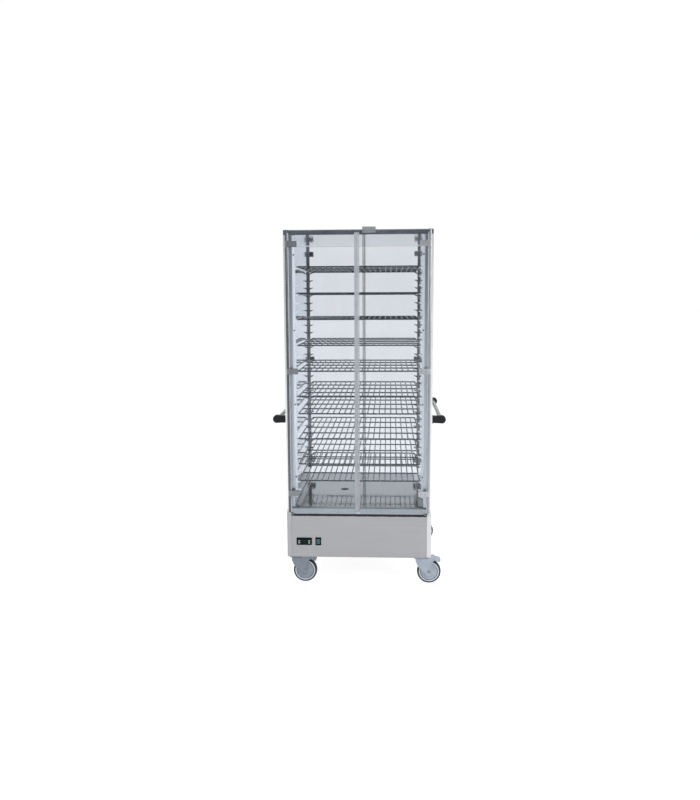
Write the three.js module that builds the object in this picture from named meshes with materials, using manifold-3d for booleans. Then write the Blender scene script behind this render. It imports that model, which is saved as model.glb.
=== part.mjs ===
// Mobile pass-through proofing cabinet: two hollow side walls on a chassis with four swivel
// casters, a pair of clear doors at the front and another at the rear, and ten wire shelves that
// rest on notched uprights. Units are millimetres. +Z is up, the front faces -Y, and the origin is
// on the floor below the middle of the cabinet.

import * as THREE from 'three';
import { mergeVertices } from 'three/addons/utils/BufferGeometryUtils.js';
import Module from 'manifold-3d';

const wasm = await Module();
wasm.setup();

// ---------------------------------------------------------------------------- driving dimensions
const SHELF_WIDTH = 608;
const SHELF_DEPTH = 740;
const CASTER_HEIGHT = 145;
const BODY_HEIGHT = 1613;
const WALL_THICKNESS = 40;
const SHELF_SIDE_ROOM = 16;
const SHELF_END_ROOM = 43;
const GAP = 0.3;
const SKIN = 1.2;

const INNER = SHELF_WIDTH / 2 + SHELF_SIDE_ROOM;
const OUTER = INNER + WALL_THICKNESS;
const FRONT = SHELF_DEPTH / 2 + SHELF_END_ROOM;
const BASE = CASTER_HEIGHT;
const ROOF = BASE + BODY_HEIGHT;

// ------------------------------------------------------------------------- sizes worked out below
const REBATE = 18;
const FLANGE = WALL_THICKNESS - REBATE;
const BETWEEN = OUTER - FLANGE - 0.5;
const CHASSIS_SHEET = 3;
const ROOF_HEIGHT = 24;
const ROOF_SHEET = 1.2;
const BASE_PANEL_TOP = BASE + 212;
const SILL_BOTTOM = BASE_PANEL_TOP + 10;
const DECK = SILL_BOTTOM + 27;
const SILL_DEPTH = 40;

const LEDGE_PITCH = 42.4;
const TOP_LEDGE = ROOF - 172.6;
const LEDGE_COUNT = 27;
const SHELF_LEDGES = [0, 3, 6, 9, 12, 15, 17, 20, 23, 25];
const WIRE = 5;
const UPRIGHT_SETBACK = 14;
const STRIP = 9;
const STRIP_WIDTH = 22;

const HINGE_ROD = 5.5;
const HINGE_X = OUTER - FLANGE + 6.5;
const HINGE_Y = FRONT + 7.5;
const DOOR_BOTTOM = SILL_BOTTOM + 3;
const DOOR_TOP = ROOF - 6;
const LEAF_FRONT = 2;
const LEAF_BACK = 3;

const WHEEL_RADIUS = 60;
const CASTER_X = OUTER - 46;
const CASTER_Y = FRONT - 58;
const TRAIL = 38;

const HANDLE_Z = BASE + 693;
const HANDLE_X = OUTER + 45;
const HANDLE_END = FRONT - 38;

// ---------------------------------------------------------------------------------------- finishes
const finishes = {
  brushedSteel: { color: 0xb4b6ba, roughness: 0.34, metalness: 0.9 },
  polishedSteel: { color: 0xc6ccd2, roughness: 0.14, metalness: 1.0 },
  wire: { color: 0x8f979c, roughness: 0.25, metalness: 1.0 },
  zinc: { color: 0x93a0ac, roughness: 0.42, metalness: 0.7 },
  clear: { color: 0xe8f0f4, roughness: 0.05, metalness: 0.0, transparent: true, opacity: 0.25 },
  blackPlastic: { color: 0x1d1e21, roughness: 0.5, metalness: 0.0 },
  whiteKey: { color: 0xe6e8ea, roughness: 0.45, metalness: 0.0 },
  greenLens: { color: 0x1f8c74, roughness: 0.25, metalness: 0.0 },
  tyre: { color: 0x23262b, roughness: 0.7, metalness: 0.0 },
  heater: { color: 0x5a5d60, roughness: 0.5, metalness: 0.8 },
};

// --------------------------------------------------------------------------------- shape helpers
const cabinet = new THREE.Group();

function addPart(name, geometry, finish) {
  const mesh = new THREE.Mesh(geometry, new THREE.MeshStandardMaterial(finish));
  mesh.name = name;
  cabinet.add(mesh);
}

function box(x0, x1, y0, y1, z0, z1) {
  const [w, d, h] = [Math.abs(x1 - x0), Math.abs(y1 - y0), Math.abs(z1 - z0)];
  return new THREE.BoxGeometry(w, d, h).translate((x0 + x1) / 2, (y0 + y1) / 2, (z0 + z1) / 2);
}

function pointsOf(pairs) {
  return pairs.map(([a, b]) => new THREE.Vector2(a, b));
}

function extruded(outline, depth, holes = []) {
  const shape = new THREE.Shape(pointsOf(outline));
  shape.holes = holes.map((hole) => new THREE.Path(pointsOf(hole)));
  return new THREE.ExtrudeGeometry(shape, { depth, bevelEnabled: false, steps: 1 });
}

// Outline in X and Y, standing from z0 to z1.
function prismZ(outline, z0, z1, holes) {
  return extruded(outline, z1 - z0, holes).translate(0, 0, z0);
}

// Outline in X and Z, running from y0 to y1.
function prismY(outline, y0, y1, holes) {
  return extruded(outline, y1 - y0, holes).rotateX(Math.PI / 2).translate(0, y1, 0);
}

// Outline in Y and Z, running from x0 to x1.
function prismX(outline, x0, x1, holes) {
  const turn = new THREE.Matrix4().makeBasis(
    new THREE.Vector3(0, 1, 0),
    new THREE.Vector3(0, 0, 1),
    new THREE.Vector3(1, 0, 0),
  );
  return extruded(outline, x1 - x0, holes).applyMatrix4(turn).translate(x0, 0, 0);
}

function cylinderZ(radius, x, y, z0, z1, sides = 16) {
  const cylinder = new THREE.CylinderGeometry(radius, radius, z1 - z0, sides);
  return cylinder.rotateX(Math.PI / 2).translate(x, y, (z0 + z1) / 2);
}

function cylinderY(radius, x, z, y0, y1, sides = 16) {
  return new THREE.CylinderGeometry(radius, radius, y1 - y0, sides).translate(x, (y0 + y1) / 2, z);
}

function arc(cx, cy, radius, from, to, steps) {
  const points = [];
  for (let i = 0; i <= steps; i += 1) {
    const angle = THREE.MathUtils.degToRad(from + ((to - from) * i) / steps);
    points.push([cx + radius * Math.cos(angle), cy + radius * Math.sin(angle)]);
  }
  return points;
}

function roundedRectangle(x0, x1, y0, y1, radius, steps = 3) {
  return [
    ...arc(x1 - radius, y1 - radius, radius, 0, 90, steps),
    ...arc(x0 + radius, y1 - radius, radius, 90, 180, steps),
    ...arc(x0 + radius, y0 + radius, radius, 180, 270, steps),
    ...arc(x1 - radius, y0 + radius, radius, 270, 360, steps),
  ];
}

function mirrored(geometry, x, y) {
  const copy = geometry.clone().scale(x, y, 1);
  if (x * y < 0) {
    const source = copy.index ? copy.toNonIndexed() : copy;
    const position = source.getAttribute('position');
    for (let i = 0; i < position.count; i += 3) {
      const [a, b] = [i + 1, i + 2].map((n) => [position.getX(n), position.getY(n), position.getZ(n)]);
      position.setXYZ(i + 1, ...b);
      position.setXYZ(i + 2, ...a);
    }
    source.computeVertexNormals();
    return source;
  }
  return copy;
}

function solid(geometry) {
  const bare = new THREE.BufferGeometry();
  bare.setAttribute('position', geometry.getAttribute('position').clone());
  if (geometry.index) {
    bare.setIndex(geometry.index.clone());
  }
  const merged = mergeVertices(bare, 1e-4);
  return new wasm.Manifold(new wasm.Mesh({
    numProp: 3,
    vertProperties: new Float32Array(merged.getAttribute('position').array),
    triVerts: new Uint32Array(merged.index.array),
  }));
}

function fromSolid(manifold) {
  const mesh = manifold.getMesh();
  const geometry = new THREE.BufferGeometry();
  geometry.setAttribute('position', new THREE.BufferAttribute(new Float32Array(mesh.vertProperties), 3));
  geometry.setIndex(new THREE.BufferAttribute(new Uint32Array(mesh.triVerts), 1));
  geometry.computeVertexNormals();
  return geometry;
}

function join(...geometries) {
  return fromSolid(geometries.map(solid).reduce((sum, next) => sum.add(next)));
}

function cut(base, ...tools) {
  return fromSolid(tools.map(solid).reduce((rest, tool) => rest.subtract(tool), solid(base)));
}

// ------------------------------------------------------------------------------------------ casing

// Each wall is a folded hollow panel. Its inner front and rear corners are stepped back, so that
// the fascias, sills and base panels sit between its outer flanges.
function sideWall() {
  const step = FRONT - REBATE;
  const ring = (inset) => [
    [OUTER - inset, -FRONT + inset],
    [OUTER - inset, FRONT - inset],
    [OUTER - FLANGE + inset, FRONT - inset],
    [OUTER - FLANGE + inset, step - inset],
    [INNER + inset, step - inset],
    [INNER + inset, -step + inset],
    [OUTER - FLANGE + inset, -step + inset],
    [OUTER - FLANGE + inset, -FRONT + inset],
  ];
  return prismZ(ring(0), BASE + CHASSIS_SHEET + GAP, ROOF - ROOF_SHEET - GAP, [ring(SKIN)]);
}

// The roof is a hollow tray. Its top sheet covers both walls, and an ear over each hinge rod
// carries the rod's top pivot.
function roof() {
  const under = ROOF - ROOF_HEIGHT;
  const face = FRONT - GAP;
  const sheet = box(-OUTER, OUTER, -FRONT, FRONT, ROOF - ROOF_SHEET, ROOF);
  const tray = box(-INNER + 0.5, INNER - 0.5, -face, face, under, ROOF - 0.5);
  const cavity = box(-OUTER, OUTER, -face + 2, face - 2, under + 2, ROOF - 2);
  const pieces = [tray];
  for (const side of [-1, 1]) {
    pieces.push(box(-BETWEEN, BETWEEN, side * face, side * (face - REBATE + 1), under, ROOF - 0.5));
  }
  const shell = cut(join(...pieces), cavity);
  const ears = [];
  for (const x of [-HINGE_X, HINGE_X]) {
    for (const y of [-HINGE_Y, HINGE_Y]) {
      const edge = Math.sign(y) * (FRONT - 4);
      ears.push(box(x - 6.5, x + 6.5, edge, y + Math.sign(y) * 6.5, ROOF - ROOF_SHEET, ROOF));
    }
  }
  return join(sheet, shell, ...ears);
}

// Sill under a pair of doors: a downward channel with a pivot ear at each end.
function sill(side) {
  const face = FRONT - GAP;
  const channel = [
    [-face, SILL_BOTTOM],
    [-face, DECK],
    [-face + SILL_DEPTH, DECK],
    [-face + SILL_DEPTH, SILL_BOTTOM],
    [-face + SILL_DEPTH - 2, SILL_BOTTOM],
    [-face + SILL_DEPTH - 2, DECK - 2],
    [-face + 2, DECK - 2],
    [-face + 2, SILL_BOTTOM],
  ];
  const wide = REBATE - 1;
  const rail = join(
    prismX(channel, -INNER + 0.5, INNER - 0.5),
    box(-BETWEEN, BETWEEN, -face, -face + 2, SILL_BOTTOM, DECK),
    box(-BETWEEN, BETWEEN, -face, -face + wide, DECK - 2, DECK),
  );
  const ears = [];
  for (const end of [-1, 1]) {
    ears.push(box(end * (HINGE_X - 20), end * (HINGE_X + 6.5), -HINGE_Y - 6.5, -FRONT - GAP,
      SILL_BOTTOM, SILL_BOTTOM + 2));
    ears.push(box(end * (HINGE_X - 20), end * (BETWEEN - 1), -FRONT - 1, -face + 1,
      SILL_BOTTOM, SILL_BOTTOM + 2));
  }
  return mirrored(join(rail, ...ears), 1, side);
}

// Polished deck that closes the chamber's bottom: a sheet with turned-down ends, and a flat rail
// along each side.
function deck() {
  const end = FRONT - SILL_DEPTH - 1;
  const sheet = [
    [-end, DECK - 25],
    [-end, DECK],
    [end, DECK],
    [end, DECK - 25],
    [end - 2, DECK - 25],
    [end - 2, DECK - 2],
    [-end + 2, DECK - 2],
    [-end + 2, DECK - 25],
  ];
  const rails = [-1, 1].map((side) => box(side * (INNER - 4), side * (INNER - 23), -end, end, DECK - 1, DECK + 3));
  return join(prismX(sheet, -INNER + 0.5, INNER - 0.5), ...rails);
}

const CONTROLLER = { x: -274.5, z: BASE + 80, width: 77, height: 37 };
const SWITCH = { x: -204, z: CONTROLLER.z, width: 29, height: 40 };
const INLET = { x: 215, z: BASE + 62, width: 28, height: 21 };

function around(item, width, height, y0, y1) {
  return box(item.x - width / 2, item.x + width / 2, y0, y1, item.z - height / 2, item.z + height / 2);
}

// Front cover of the base, with the cut-outs for the controller and the power switch.
function basePanel() {
  const face = FRONT - GAP;
  const bottom = BASE + CHASSIS_SHEET + GAP;
  const sheet = box(-BETWEEN, BETWEEN, -face, -face + 1.5, bottom, BASE_PANEL_TOP);
  const returned = box(-BETWEEN, BETWEEN, -face, -face + REBATE - 2, BASE_PANEL_TOP - 1.5, BASE_PANEL_TOP);
  return cut(
    join(sheet, returned),
    around(CONTROLLER, CONTROLLER.width - 5, CONTROLLER.height - 7, -FRONT - 5, -FRONT + 10),
    around(SWITCH, SWITCH.width - 3, SWITCH.height - 3, -FRONT - 5, -FRONT + 10),
  );
}

// Bottom plate and rear cover of the base, folded from one sheet, with the power inlet's cut-out.
function chassis() {
  const face = FRONT - GAP;
  const plate = box(-OUTER, OUTER, -FRONT, FRONT, BASE, BASE + CHASSIS_SHEET);
  const rear = box(-BETWEEN, BETWEEN, face - 1.5, face, BASE + 1, BASE_PANEL_TOP);
  const returned = box(-BETWEEN, BETWEEN, face - REBATE + 2, face, BASE_PANEL_TOP - 1.5, BASE_PANEL_TOP);
  const opening = around(INLET, INLET.width + 0.8, INLET.height + 0.8, FRONT - 10, FRONT + 5);
  return cut(join(plate, rear, returned), opening);
}

addPart('side_wall_left', mirrored(sideWall(), -1, 1), finishes.brushedSteel);
addPart('side_wall_right', sideWall(), finishes.brushedSteel);
addPart('roof', roof(), finishes.brushedSteel);
addPart('front_sill', sill(1), finishes.brushedSteel);
addPart('rear_sill', sill(-1), finishes.brushedSteel);
addPart('deck', deck(), finishes.polishedSteel);
addPart('base_front_panel', basePanel(), finishes.brushedSteel);
addPart('chassis_tray', chassis(), finishes.brushedSteel);

// ------------------------------------------------------------------------------- rack and shelves

// Comb-shaped upright: a strip on the wall, from under the ceiling down to one pitch below its
// lowest ledge, with one wedge-shaped tooth for each ledge.
function upright(side, y) {
  const back = INNER - GAP;
  const face = back - STRIP;
  const tip = SHELF_WIDTH / 2 - 11;
  const bottom = TOP_LEDGE - LEDGE_COUNT * LEDGE_PITCH;
  const top = ROOF - ROOF_HEIGHT - 3;
  const rise = 2.5;
  const [root, blunt] = [9, 3];
  const outline = [[back, bottom], [face, bottom]];
  for (let i = LEDGE_COUNT - 1; i >= 0; i -= 1) {
    const ledge = TOP_LEDGE - i * LEDGE_PITCH - WIRE / 2 - 0.4;
    outline.push([face, ledge - rise - root], [tip, ledge - blunt], [tip, ledge], [face, ledge - rise]);
  }
  outline.push([face, top], [back, top]);
  return mirrored(prismY(outline, y - STRIP_WIDTH / 2, y + STRIP_WIDTH / 2), side, 1);
}

const UPRIGHT_Y = SHELF_DEPTH / 2 - UPRIGHT_SETBACK;
addPart('upright_front_left', upright(-1, -UPRIGHT_Y), finishes.polishedSteel);
addPart('upright_front_right', upright(1, -UPRIGHT_Y), finishes.polishedSteel);
addPart('upright_rear_left', upright(-1, UPRIGHT_Y), finishes.polishedSteel);
addPart('upright_rear_right', upright(1, UPRIGHT_Y), finishes.polishedSteel);

// Wire shelf as a flat grid of the same outline and thickness.
function shelf(z) {
  const columns = 5;
  const rows = 4;
  const bar = 6;
  const [halfWidth, halfDepth] = [SHELF_WIDTH / 2, SHELF_DEPTH / 2];
  const stepX = (SHELF_WIDTH - bar) / columns;
  const stepY = (SHELF_DEPTH - bar) / rows;
  const holes = [];
  for (let c = 0; c < columns; c += 1) {
    for (let r = 0; r < rows; r += 1) {
      const x = -halfWidth + bar + c * stepX;
      const y = -halfDepth + bar + r * stepY;
      holes.push(box(x, x + stepX - bar, y, y + stepY - bar, z - WIRE, z + WIRE));
    }
  }
  return cut(box(-halfWidth, halfWidth, -halfDepth, halfDepth, z - WIRE / 2, z + WIRE / 2), ...holes);
}

SHELF_LEDGES.forEach((ledge, index) => {
  const number = String(index + 1).padStart(2, '0');
  addPart(`shelf_${number}`, shelf(TOP_LEDGE - ledge * LEDGE_PITCH), finishes.wire);
});

// ------------------------------------------------------------------------------------------- doors

// Shapes of the front right door, in the cabinet's frame. The other three are mirror images.
function doorLeaf() {
  const outline = roundedRectangle(1.5, HINGE_X - HINGE_ROD - 1, DOOR_BOTTOM, DOOR_TOP, 12, 3);
  return prismY(outline, -HINGE_Y - LEAF_FRONT, -HINGE_Y + LEAF_BACK);
}

function hingeRod() {
  const reach = HINGE_X - 50.5;
  const heel = HINGE_X + HINGE_ROD;
  const leafEdge = HINGE_X - HINGE_ROD - 0.7;
  const chamfer = 2;
  const clamp = [
    [heel - chamfer, -HINGE_Y - HINGE_ROD],
    [heel, -HINGE_Y - HINGE_ROD + chamfer],
    [heel, -HINGE_Y + HINGE_ROD - chamfer],
    [heel - chamfer, -HINGE_Y + HINGE_ROD],
    [reach, -HINGE_Y + HINGE_ROD],
    [reach, -HINGE_Y + LEAF_BACK + GAP],
    [leafEdge, -HINGE_Y + LEAF_BACK + GAP],
    [leafEdge, -HINGE_Y - LEAF_FRONT - GAP],
    [reach, -HINGE_Y - LEAF_FRONT - GAP],
    [reach, -HINGE_Y - HINGE_ROD],
  ];
  const rodBottom = SILL_BOTTOM + 2 + GAP;
  const rod = cylinderZ(HINGE_ROD, HINGE_X, -HINGE_Y, rodBottom, ROOF - ROOF_SHEET - GAP, 12);
  const clamps = [BASE + 328, BASE + 935, BASE + 1546].map((z) => prismZ(clamp, z - 14, z + 14));
  return join(rod, ...clamps);
}

for (const [end, y] of [['front', 1], ['rear', -1]]) {
  for (const [hand, x] of [['left', -1], ['right', 1]]) {
    addPart(`door_${end}_${hand}`, mirrored(doorLeaf(), x, y), finishes.clear);
    addPart(`hinge_rod_${end}_${hand}`, mirrored(hingeRod(), x, y), finishes.polishedSteel);
  }
}

const TAB_FACE = -HINGE_Y - LEAF_FRONT - GAP;
addPart('latch_tab', box(20, 84, TAB_FACE - 3, TAB_FACE, ROOF - 17, ROOF + 12), finishes.brushedSteel);

// ----------------------------------------------------------------------------------------- casters

const PLATE_TOP = BASE - GAP;
const PLATE_BOTTOM = BASE - 4;
const CROWN_TOP = PLATE_BOTTOM - GAP;
const CROWN_BOTTOM = 2 * WHEEL_RADIUS + 7;

function casterPlate(x, y) {
  return prismZ(roundedRectangle(x - 42, x + 42, y - 42, y + 42, 8, 2), PLATE_BOTTOM, PLATE_TOP);
}

// Fork with its crown, two cheeks that carry the pedal horns, and the axle.
function casterFork(x, y) {
  const axle = [x + TRAIL, WHEEL_RADIUS];
  const cheek = [
    [x - 31, CROWN_TOP - 1],
    [x - 29, 112],
    [x - 20, 98],
    ...arc(axle[0] - 6, axle[1] - 2, 13, 215, 320, 4),
    [axle[0] + 8, 86],
    [x + 55, 112],
    [x + 66, 120],
    [x + 68, CROWN_TOP - 1],
  ];
  const crown = cylinderZ(34, x, y, CROWN_BOTTOM, CROWN_TOP, 20);
  const pieces = [crown, cylinderY(5, ...axle, y - 26, y + 26, 12)];
  for (const side of [-1, 1]) {
    pieces.push(prismY(cheek, y + side * 20 - 1.5, y + side * 20 + 1.5));
    pieces.push(cylinderY(9, ...axle, y + side * 23.5 - 2.5, y + side * 23.5 + 2.5, 6));
  }
  return join(...pieces);
}

// Wheel with its tyre, turned about the axle, with a bore that clears it.
function casterWheel(x, y) {
  const profile = [
    [5.3, -17.5], [15, -17.5], [15, -9], [42, -9], [44, -15], [54, -15],
    [WHEEL_RADIUS, -9], [WHEEL_RADIUS, 9], [54, 15],
    [44, 15], [42, 9], [15, 9], [15, 17.5], [5.3, 17.5], [5.3, -17.5],
  ];
  const turned = new THREE.LatheGeometry(pointsOf(profile), 24);
  return fromSolid(solid(turned)).translate(x + TRAIL, y, WHEEL_RADIUS);
}

function brakePedal(x, y) {
  const outline = [
    [x + 45, 124], [x + 60, 123], [x + 71, 119], [x + 90, 109], [x + 95, 110], [x + 97, 114],
    [x + 80, 127], [x + 68, 134], [x + 56, 138], [x + 47, 138], [x + 45, 135],
  ];
  return prismY(outline, y - 17.5, y + 17.5);
}

for (const [end, y] of [['front', -CASTER_Y], ['rear', CASTER_Y]]) {
  for (const [hand, x] of [['left', -CASTER_X], ['right', CASTER_X]]) {
    addPart(`caster_plate_${end}_${hand}`, casterPlate(x, y), finishes.zinc);
    addPart(`caster_fork_${end}_${hand}`, casterFork(x, y), finishes.zinc);
    addPart(`wheel_${end}_${hand}`, casterWheel(x, y), finishes.tyre);
  }
}
addPart('brake_pedal_left', brakePedal(-CASTER_X, -CASTER_Y), finishes.zinc);
addPart('brake_pedal_right', brakePedal(CASTER_X, -CASTER_Y), finishes.zinc);

// ----------------------------------------------------------------------------------------- handles

const TUBE_RADIUS = 10;
const BRACKET_THICKNESS = 30;

function handleBracket(side, end) {
  const [near, far] = [OUTER + GAP, HANDLE_X + 24];
  const radius = 20;
  const outline = [
    [near, HANDLE_Z - radius],
    ...arc(far - radius, HANDLE_Z, radius, -90, 90, 8),
    [near, HANDLE_Z + radius],
  ];
  return mirrored(prismY(outline, HANDLE_END - BRACKET_THICKNESS, HANDLE_END), side, end);
}

for (const [hand, side] of [['left', -1], ['right', 1]]) {
  const reach = HANDLE_END - BRACKET_THICKNESS - GAP;
  addPart(`handle_tube_${hand}`, cylinderY(TUBE_RADIUS, side * HANDLE_X, HANDLE_Z, -reach, reach, 20),
    finishes.polishedSteel);
  addPart(`handle_bracket_front_${hand}`, handleBracket(side, -1), finishes.blackPlastic);
  addPart(`handle_bracket_rear_${hand}`, handleBracket(side, 1), finishes.blackPlastic);
}

// ---------------------------------------------------------------------------------------- controls

const KEY_FACE = -FRONT - 3.5;
const KEY_OFFSETS = { up: [-25, 3], down: [-25, -7], set: [25, 3], light: [25, -7] };

function atKey(offset) {
  return { x: CONTROLLER.x + offset[0], z: CONTROLLER.z + offset[1] };
}

function controller() {
  const bezel = around(CONTROLLER, CONTROLLER.width, CONTROLLER.height, KEY_FACE, -FRONT);
  const body = around(CONTROLLER, CONTROLLER.width - 6, CONTROLLER.height - 8, -FRONT - 1, -FRONT + 58);
  const pockets = Object.values(KEY_OFFSETS).map((at) => around(atKey(at), 10, 6.5, KEY_FACE - 1, KEY_FACE + 2.6));
  return cut(join(bezel, body), ...pockets);
}

function rockerFrame() {
  const frame = around(SWITCH, SWITCH.width, SWITCH.height, -FRONT - 3, -FRONT);
  const body = around(SWITCH, SWITCH.width - 4, SWITCH.height - 4, -FRONT - 1, -FRONT + 24);
  return cut(join(frame, body), around(SWITCH, 20, 31, -FRONT - 5, -FRONT + 18));
}

// Rocker with two flat wings, resting with its lower wing pressed in.
function rocker() {
  const outline = [[-5, -13.6], [-3.2, 0], [-5, 13.6], [3, 12.5], [8, 5], [8, -5], [3, -12.5]];
  const turned = prismX(outline, -9.6, 9.6).rotateX(THREE.MathUtils.degToRad(7));
  return turned.translate(SWITCH.x, -FRONT + 4, SWITCH.z);
}

function powerInlet() {
  const face = FRONT;
  const flange = around(INLET, INLET.width + 20, INLET.height + 8, face, face + 2.5);
  const body = around(INLET, INLET.width, INLET.height, face - 26, face + 1);
  const socket = around(INLET, INLET.width - 4, INLET.height - 4, face - 14, face + 5);
  const pins = [-7, 0, 7].map((dx) => {
    const at = { x: INLET.x + dx, z: INLET.z + (dx === 0 ? 3.5 : -1.5) };
    return around(at, 2, 4, face - 16, face - 5);
  });
  return join(cut(join(flange, body), socket), ...pins);
}

addPart('controller', controller(), finishes.blackPlastic);
for (const [key, offset] of Object.entries(KEY_OFFSETS)) {
  addPart(`key_${key}`, around(atKey(offset), 9, 5.5, KEY_FACE - 0.7, KEY_FACE + 1.6), finishes.whiteKey);
}
addPart('switch_frame', rockerFrame(), finishes.blackPlastic);
addPart('switch_rocker', rocker(), finishes.greenLens);
addPart('power_inlet', powerInlet(), finishes.blackPlastic);

// Tubular heating element bent back and forth below the deck.
function heatingElement() {
  const runs = 6;
  const pitch = 80;
  const reach = 220;
  const z = DECK - 14;
  const path = new THREE.CurvePath();
  for (let i = 0; i < runs; i += 1) {
    const y = (i - (runs - 1) / 2) * pitch;
    const way = i % 2 === 0 ? 1 : -1;
    const [from, to] = [new THREE.Vector3(-way * reach, y, z), new THREE.Vector3(way * reach, y, z)];
    path.add(new THREE.LineCurve3(from, to));
    if (i < runs - 1) {
      const bulge = way * (reach + pitch * 0.66);
      path.add(new THREE.CubicBezierCurve3(
        to,
        new THREE.Vector3(bulge, y, z),
        new THREE.Vector3(bulge, y + pitch, z),
        new THREE.Vector3(way * reach, y + pitch, z),
      ));
    }
  }
  const section = new THREE.Shape(pointsOf(arc(0, 0, 4, 0, 300, 5)));
  return new THREE.ExtrudeGeometry(section, { steps: 54, extrudePath: path, bevelEnabled: false });
}

addPart('heating_element', heatingElement(), finishes.heater);

export default cabinet;
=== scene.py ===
"""Looks of the pass-through proofing cabinet: steel casing, clear doors, wire shelves and casters."""

import math

import bmesh
import bpy
from mathutils import Matrix, Vector


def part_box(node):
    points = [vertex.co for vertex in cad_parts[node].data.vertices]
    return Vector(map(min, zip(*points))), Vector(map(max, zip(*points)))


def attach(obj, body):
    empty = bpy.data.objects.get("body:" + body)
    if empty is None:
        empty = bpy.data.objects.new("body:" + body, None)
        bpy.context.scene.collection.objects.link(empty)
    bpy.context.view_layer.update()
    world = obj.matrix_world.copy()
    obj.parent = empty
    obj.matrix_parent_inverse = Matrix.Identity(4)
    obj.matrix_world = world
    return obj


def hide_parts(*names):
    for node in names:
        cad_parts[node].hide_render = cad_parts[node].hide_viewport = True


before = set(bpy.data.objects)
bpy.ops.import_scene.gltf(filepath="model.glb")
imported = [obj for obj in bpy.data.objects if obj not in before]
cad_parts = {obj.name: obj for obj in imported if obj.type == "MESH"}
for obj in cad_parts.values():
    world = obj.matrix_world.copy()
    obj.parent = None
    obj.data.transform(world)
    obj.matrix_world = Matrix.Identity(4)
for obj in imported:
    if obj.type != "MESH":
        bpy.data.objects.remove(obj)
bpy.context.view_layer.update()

MM = 0.001

RANGE_SOCKETS = ("From Min", "From Max", "To Min", "To Max")
ENDS = ("front", "rear")
HANDS = ("left", "right")
OUTWARD = {"front": -1, "rear": 1, "left": -1, "right": 1}

X, Y, Z = Vector((1, 0, 0)), Vector((0, 1, 0)), Vector((0, 0, 1))


# ---- shader tools ----


def set_sockets(node, sockets, values):
    for socket, value in zip(sockets, values):
        node.inputs[socket].default_value = value


class Shader:
    """A node material that ends in one Principled shader."""

    def __init__(self, name, **sockets):
        self.material = bpy.data.materials.new(name)
        self.material.use_nodes = True
        self.tree = self.material.node_tree
        self.surface = self.tree.nodes["Principled BSDF"]
        for socket, value in sockets.items():
            self.set(socket.replace("_", " "), value)

    def set(self, socket, value):
        self.surface.inputs[socket].default_value = value

    def link(self, output, target):
        self.tree.links.new(output, target)

    def to(self, socket, output):
        self.link(output, self.surface.inputs[socket])

    def node(self, kind, **settings):
        made = self.tree.nodes.new(kind)
        for key, value in settings.items():
            setattr(made, key, value)
        return made

    def place(self, scale=(1, 1, 1), turn=(0, 0, 0)):
        coordinates = self.node("ShaderNodeTexCoord")
        mapping = self.node("ShaderNodeMapping")
        mapping.inputs["Scale"].default_value = scale
        mapping.inputs["Rotation"].default_value = turn
        self.link(coordinates.outputs["Object"], mapping.inputs["Vector"])
        return mapping.outputs["Vector"]

    def noise(self, scale, stretch=(1, 1, 1), detail=2.0, rough=0.5, distortion=0.0, turn=(0, 0, 0)):
        noise = self.node("ShaderNodeTexNoise")
        set_sockets(noise, ("Scale", "Detail", "Roughness", "Distortion"), (scale, detail, rough, distortion))
        self.link(self.place(stretch, turn), noise.inputs["Vector"])
        return noise.outputs["Fac"]

    def cells(self, scale, feature="F1", stretch=(1, 1, 1)):
        voronoi = self.node("ShaderNodeTexVoronoi", feature=feature)
        voronoi.inputs["Scale"].default_value = scale
        self.link(self.place(stretch), voronoi.inputs["Vector"])
        return voronoi.outputs["Distance"]

    def range(self, value, low, high, to_low=0.0, to_high=1.0):
        mapped = self.node("ShaderNodeMapRange", clamp=True)
        self.link(value, mapped.inputs["Value"])
        set_sockets(mapped, RANGE_SOCKETS, (low, high, to_low, to_high))
        return mapped.outputs["Result"]

    def math(self, operation, first, second):
        made = self.node("ShaderNodeMath", operation=operation)
        for socket, value in zip(made.inputs, (first, second)):
            if isinstance(value, (int, float)):
                socket.default_value = value
            else:
                self.link(value, socket)
        return made.outputs["Value"]

    def blend(self, factor, first, second, mode="MIX"):
        mix = self.node("ShaderNodeMix", data_type="RGBA", blend_type=mode)
        if factor is None:
            mix.inputs["Factor"].default_value = 1.0
        else:
            self.link(factor, mix.inputs["Factor"])
        for socket, value in ((mix.inputs[6], first), (mix.inputs[7], second)):
            if isinstance(value, tuple):
                socket.default_value = (*value, 1.0)
            else:
                self.link(value, socket)
        return mix.outputs[2]

    def axis(self, name, absolute=False):
        split = self.node("ShaderNodeSeparateXYZ")
        self.link(self.place(), split.inputs["Vector"])
        value = split.outputs[name]
        return self.math("ABSOLUTE", value, 0.0) if absolute else value

    def bump(self, height, strength, distance, under=None):
        bump = self.node("ShaderNodeBump")
        bump.inputs["Strength"].default_value = strength
        bump.inputs["Distance"].default_value = distance
        self.link(height, bump.inputs["Height"])
        if under is not None:
            self.link(under, bump.inputs["Normal"])
        self.to("Normal", bump.outputs["Normal"])
        return bump.outputs["Normal"]


def shade(colour, amount):
    return tuple(min(1.0, channel * amount) for channel in colour)


def grain_stretch(grain):
    """Scale for coordinates that squeezes noise into lines along one axis."""
    return tuple(0.02 if axis == grain else 1.0 for axis in "XYZ")


# ---- materials ----


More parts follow.
